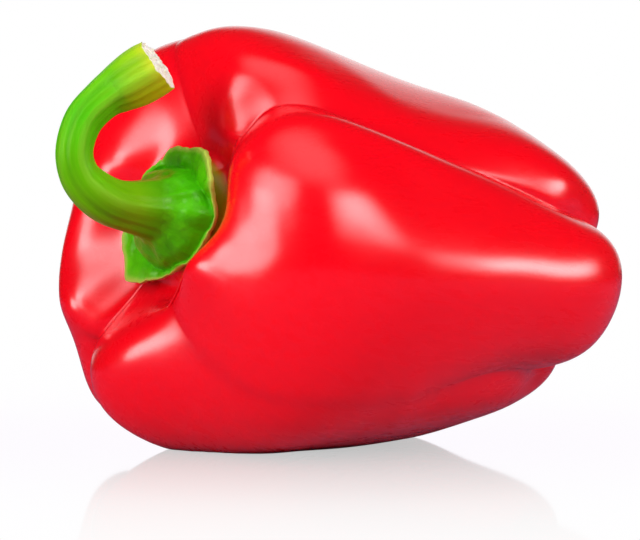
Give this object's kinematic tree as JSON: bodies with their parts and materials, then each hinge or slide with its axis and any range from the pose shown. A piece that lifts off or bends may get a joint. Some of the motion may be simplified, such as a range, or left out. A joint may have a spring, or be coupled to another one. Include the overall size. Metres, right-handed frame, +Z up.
{
  "type": "bell pepper",
  "caption": "Ripe red sweet bell pepper lying on its side, four-lobed and blocky, with its green calyx and a thick curled stem.",
  "frame": {"origin": "on the resting surface, under the middle of the whole pepper's bounding box", "axes": "+X along the pepper's length from the stem to the blossom end, +Z up as it lies, -Y the side that the picture shows"},
  "size_m": [0.1346, 0.1018, 0.0916],
  "materials": {
    "skin": "smooth waxy high-gloss skin, deep red",
    "calyx_green": "mottled bright and dark green, waxy semi-gloss, pale thin edge",
    "stem_green": "bright green with pale lengthwise streaks, satin; pale rough cut end"
  },
  "bodies": {
    "root": {"fruit": "skin", "calyx": "calyx_green", "stem": "stem_green"}
  },
  "joints": []
}
